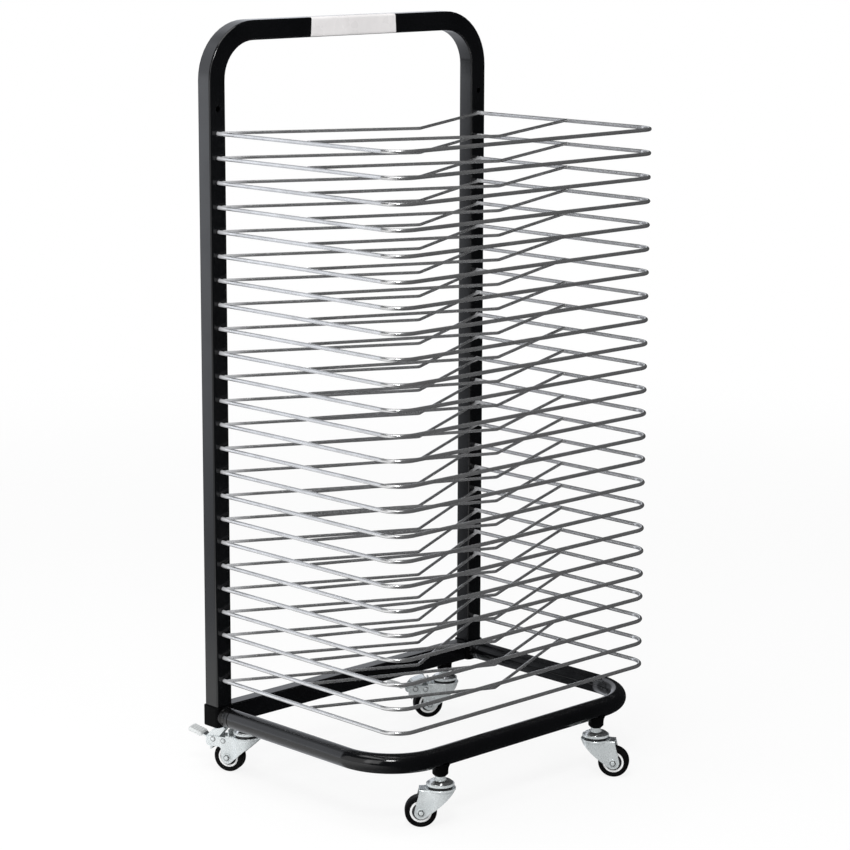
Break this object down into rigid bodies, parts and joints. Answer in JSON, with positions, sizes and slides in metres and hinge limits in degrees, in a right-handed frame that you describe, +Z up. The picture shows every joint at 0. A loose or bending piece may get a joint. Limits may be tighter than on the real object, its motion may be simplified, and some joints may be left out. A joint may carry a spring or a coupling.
{
  "type": "art drying rack",
  "caption": "Mobile art drying rack: a bent square-tube frame on a round-tube base with braked swivel casters, holding hooked wire shelves that lift to lay sheets flat.",
  "frame": {"origin": "on the floor, under the middle of the rack's bounding box", "axes": "+Z up; the shelves reach forward along -Y from the uprights; +X to the right seen from the front"},
  "size_m": [0.4856, 0.4361, 0.975],
  "materials": {
    "black_coat": "satin black powder coat",
    "black_moulding": "semi-matt black moulding",
    "silver_wire": "satin silver plated wire",
    "zinc": "bright zinc plated pressing",
    "rubber": "matt black rubber",
    "pale_plastic": "pale grey moulded plastic"
  },
  "bodies": {
    "frame": {"back_frame": "black_coat", "rear_cross_bar": "black_coat", "base_loop": "black_coat", "corner_block_left": "black_moulding", "corner_block_right": "black_moulding", "caster_front_left_saddle": "black_moulding", "caster_front_left_stem": "zinc", "caster_front_right_saddle": "black_moulding", "caster_front_right_stem": "zinc", "caster_rear_left_saddle": "black_moulding", "caster_rear_left_stem": "zinc", "caster_rear_right_saddle": "black_moulding", "caster_rear_right_stem": "zinc"},
    "shelf_01": {"shelf_01": "silver_wire"},
    "shelf_02": {"shelf_02": "silver_wire"},
    "shelf_03": {"shelf_03": "silver_wire"},
    "shelf_04": {"shelf_04": "silver_wire"},
    "shelf_05": {"shelf_05": "silver_wire"},
    "shelf_06": {"shelf_06": "silver_wire"},
    "shelf_07": {"shelf_07": "silver_wire"},
    "shelf_08": {"shelf_08": "silver_wire"},
    "shelf_09": {"shelf_09": "silver_wire"},
    "shelf_10": {"shelf_10": "silver_wire"},
    "shelf_11": {"shelf_11": "silver_wire"},
    "shelf_12": {"shelf_12": "silver_wire"},
    "shelf_13": {"shelf_13": "silver_wire"},
    "shelf_14": {"shelf_14": "silver_wire"},
    "shelf_15": {"shelf_15": "silver_wire"},
    "shelf_16": {"shelf_16": "silver_wire"},
    "shelf_17": {"shelf_17": "silver_wire"},
    "shelf_18": {"shelf_18": "silver_wire"},
    "shelf_19": {"shelf_19": "silver_wire"},
    "shelf_20": {"shelf_20": "silver_wire"},
    "shelf_21": {"shelf_21": "silver_wire"},
    "shelf_22": {"shelf_22": "silver_wire"},
    "shelf_23": {"shelf_23": "silver_wire"},
    "shelf_24": {"shelf_24": "silver_wire"},
    "swivel_front_left": {"caster_front_left_fork": "zinc", "caster_front_left_axle": "zinc"},
    "wheel_front_left": {"caster_front_left_hub": "pale_plastic", "caster_front_left_tyre": "rubber"},
    "swivel_front_right": {"caster_front_right_fork": "zinc", "caster_front_right_axle": "zinc"},
    "wheel_front_right": {"caster_front_right_hub": "pale_plastic", "caster_front_right_tyre": "rubber"},
    "swivel_rear_left": {"caster_rear_left_fork": "zinc", "caster_rear_left_axle": "zinc"},
    "wheel_rear_left": {"caster_rear_left_hub": "pale_plastic", "caster_rear_left_tyre": "rubber"},
    "brake_rear_left": {"brake_pedal_rear_left": "pale_plastic"},
    "swivel_rear_right": {"caster_rear_right_fork": "zinc", "caster_rear_right_axle": "zinc"},
    "wheel_rear_right": {"caster_rear_right_hub": "pale_plastic", "caster_rear_right_tyre": "rubber"},
    "brake_rear_right": {"brake_pedal_rear_right": "pale_plastic"}
  },
  "joints": [
    {"name": "shelf_01_lift", "type": "hinge", "parent": "frame", "child": "shelf_01", "pos_m": [0, 0.13008, 0.136], "axis": [-1, 0, 0], "range_deg": [0, 25]},
    {"name": "shelf_02_lift", "type": "hinge", "parent": "frame", "child": "shelf_02", "pos_m": [0, 0.13008, 0.1665], "axis": [-1, 0, 0], "range_deg": [0, 25]},
    {"name": "shelf_03_lift", "type": "hinge", "parent": "frame", "child": "shelf_03", "pos_m": [0, 0.13008, 0.197], "axis": [-1, 0, 0], "range_deg": [0, 25]},
    {"name": "shelf_04_lift", "type": "hinge", "parent": "frame", "child": "shelf_04", "pos_m": [0, 0.13008, 0.2275], "axis": [-1, 0, 0], "range_deg": [0, 25]},
    {"name": "shelf_05_lift", "type": "hinge", "parent": "frame", "child": "shelf_05", "pos_m": [0, 0.13008, 0.258], "axis": [-1, 0, 0], "range_deg": [0, 25]},
    {"name": "shelf_06_lift", "type": "hinge", "parent": "frame", "child": "shelf_06", "pos_m": [0, 0.13008, 0.2885], "axis": [-1, 0, 0], "range_deg": [0, 25]},
    {"name": "shelf_07_lift", "type": "hinge", "parent": "frame", "child": "shelf_07", "pos_m": [0, 0.13008, 0.319], "axis": [-1, 0, 0], "range_deg": [0, 25]},
    {"name": "shelf_08_lift", "type": "hinge", "parent": "frame", "child": "shelf_08", "pos_m": [0, 0.13008, 0.3495], "axis": [-1, 0, 0], "range_deg": [0, 25]},
    {"name": "shelf_09_lift", "type": "hinge", "parent": "frame", "child": "shelf_09", "pos_m": [0, 0.13008, 0.38], "axis": [-1, 0, 0], "range_deg": [0, 25]},
    {"name": "shelf_10_lift", "type": "hinge", "parent": "frame", "child": "shelf_10", "pos_m": [0, 0.13008, 0.4105], "axis": [-1, 0, 0], "range_deg": [0, 25]},
    {"name": "shelf_11_lift", "type": "hinge", "parent": "frame", "child": "shelf_11", "pos_m": [0, 0.13008, 0.441], "axis": [-1, 0, 0], "range_deg": [0, 25]},
    {"name": "shelf_12_lift", "type": "hinge", "parent": "frame", "child": "shelf_12", "pos_m": [0, 0.13008, 0.4715], "axis": [-1, 0, 0], "range_deg": [0, 25]},
    {"name": "shelf_13_lift", "type": "hinge", "parent": "frame", "child": "shelf_13", "pos_m": [0, 0.13008, 0.502], "axis": [-1, 0, 0], "range_deg": [0, 25]},
    {"name": "shelf_14_lift", "type": "hinge", "parent": "frame", "child": "shelf_14", "pos_m": [0, 0.13008, 0.5325], "axis": [-1, 0, 0], "range_deg": [0, 25]},
    {"name": "shelf_15_lift", "type": "hinge", "parent": "frame", "child": "shelf_15", "pos_m": [0, 0.13008, 0.563], "axis": [-1, 0, 0], "range_deg": [0, 25]},
    {"name": "shelf_16_lift", "type": "hinge", "parent": "frame", "child": "shelf_16", "pos_m": [0, 0.13008, 0.5935], "axis": [-1, 0, 0], "range_deg": [0, 25]},
    {"name": "shelf_17_lift", "type": "hinge", "parent": "frame", "child": "shelf_17", "pos_m": [0, 0.13008, 0.624], "axis": [-1, 0, 0], "range_deg": [0, 25]},
    {"name": "shelf_18_lift", "type": "hinge", "parent": "frame", "child": "shelf_18", "pos_m": [0, 0.13008, 0.6545], "axis": [-1, 0, 0], "range_deg": [0, 25]},
    {"name": "shelf_19_lift", "type": "hinge", "parent": "frame", "child": "shelf_19", "pos_m": [0, 0.13008, 0.685], "axis": [-1, 0, 0], "range_deg": [0, 25]},
    {"name": "shelf_20_lift", "type": "hinge", "parent": "frame", "child": "shelf_20", "pos_m": [0, 0.13008, 0.7155], "axis": [-1, 0, 0], "range_deg": [0, 25]},
    {"name": "shelf_21_lift", "type": "hinge", "parent": "frame", "child": "shelf_21", "pos_m": [0, 0.13008, 0.746], "axis": [-1, 0, 0], "range_deg": [0, 25]},
    {"name": "shelf_22_lift", "type": "hinge", "parent": "frame", "child": "shelf_22", "pos_m": [0, 0.13008, 0.7765], "axis": [-1, 0, 0], "range_deg": [0, 25]},
    {"name": "shelf_23_lift", "type": "hinge", "parent": "frame", "child": "shelf_23", "pos_m": [0, 0.13008, 0.807], "axis": [-1, 0, 0], "range_deg": [0, 25]},
    {"name": "shelf_24_lift", "type": "hinge", "parent": "frame", "child": "shelf_24", "pos_m": [0, 0.13008, 0.8375], "axis": [-1, 0, 0], "range_deg": [0, 25]},
    {"name": "swivel_front_left_turn", "type": "hinge", "parent": "frame", "child": "swivel_front_left", "pos_m": [-0.142, -0.17867, 0.045], "axis": [0, 0, 1], "continuous": true},
    {"name": "wheel_front_left_spin", "type": "hinge", "parent": "swivel_front_left", "child": "wheel_front_left", "pos_m": [-0.15984, -0.16261, 0.02], "axis": [-0.6691, -0.7431, 0], "continuous": true},
    {"name": "swivel_front_right_turn", "type": "hinge", "parent": "frame", "child": "swivel_front_right", "pos_m": [0.142, -0.17867, 0.045], "axis": [0, 0, 1], "continuous": true},
    {"name": "wheel_front_right_spin", "type": "hinge", "parent": "swivel_front_right", "child": "wheel_front_right", "pos_m": [0.15611, -0.19809, 0.02], "axis": [0.809, 0.5878, 0], "continuous": true},
    {"name": "swivel_rear_left_turn", "type": "hinge", "parent": "frame", "child": "swivel_rear_left", "pos_m": [-0.181, 0.14183, 0.045], "axis": [0, 0, 1], "continuous": true},
    {"name": "wheel_rear_left_spin", "type": "hinge", "parent": "swivel_rear_left", "child": "wheel_rear_left", "pos_m": [-0.19114, 0.16358, 0.02], "axis": [-0.9063, -0.4226, 0], "continuous": true},
    {"name": "brake_rear_left_press", "type": "hinge", "parent": "swivel_rear_left", "child": "brake_rear_left", "pos_m": [-0.19959, 0.1817, 0.043], "axis": [-0.9063, -0.4226, 0], "range_deg": [0, 12]},
    {"name": "swivel_rear_right_turn", "type": "hinge", "parent": "frame", "child": "swivel_rear_right", "pos_m": [0.181, 0.14183, 0.045], "axis": [0, 0, 1], "continuous": true},
    {"name": "wheel_rear_right_spin", "type": "hinge", "parent": "swivel_rear_right", "child": "wheel_rear_right", "pos_m": [0.16021, 0.15383, 0.02], "axis": [-0.5, -0.866, 0], "continuous": true},
    {"name": "brake_rear_right_press", "type": "hinge", "parent": "swivel_rear_right", "child": "brake_rear_right", "pos_m": [0.14289, 0.16383, 0.043], "axis": [-0.5, -0.866, 0], "range_deg": [0, 12]}
  ],
  "couplings": [
    {"joint": "shelf_02_lift", "follows": "shelf_01_lift", "ratio": 1},
    {"joint": "shelf_03_lift", "follows": "shelf_01_lift", "ratio": 1},
    {"joint": "shelf_04_lift", "follows": "shelf_01_lift", "ratio": 1},
    {"joint": "shelf_05_lift", "follows": "shelf_01_lift", "ratio": 1},
    {"joint": "shelf_06_lift", "follows": "shelf_01_lift", "ratio": 1},
    {"joint": "shelf_07_lift", "follows": "shelf_01_lift", "ratio": 1},
    {"joint": "shelf_08_lift", "follows": "shelf_01_lift", "ratio": 1},
    {"joint": "shelf_09_lift", "follows": "shelf_01_lift", "ratio": 1},
    {"joint": "shelf_10_lift", "follows": "shelf_01_lift", "ratio": 1},
    {"joint": "shelf_11_lift", "follows": "shelf_01_lift", "ratio": 1},
    {"joint": "shelf_12_lift", "follows": "shelf_01_lift", "ratio": 1},
    {"joint": "shelf_13_lift", "follows": "shelf_01_lift", "ratio": 1},
    {"joint": "shelf_14_lift", "follows": "shelf_01_lift", "ratio": 1},
    {"joint": "shelf_15_lift", "follows": "shelf_01_lift", "ratio": 1},
    {"joint": "shelf_16_lift", "follows": "shelf_01_lift", "ratio": 1},
    {"joint": "shelf_17_lift", "follows": "shelf_01_lift", "ratio": 1},
    {"joint": "shelf_18_lift", "follows": "shelf_01_lift", "ratio": 1},
    {"joint": "shelf_19_lift", "follows": "shelf_01_lift", "ratio": 1},
    {"joint": "shelf_20_lift", "follows": "shelf_01_lift", "ratio": 1},
    {"joint": "shelf_21_lift", "follows": "shelf_01_lift", "ratio": 1},
    {"joint": "shelf_22_lift", "follows": "shelf_01_lift", "ratio": 1},
    {"joint": "shelf_23_lift", "follows": "shelf_01_lift", "ratio": 1},
    {"joint": "shelf_24_lift", "follows": "shelf_01_lift", "ratio": 1}
  ]
}
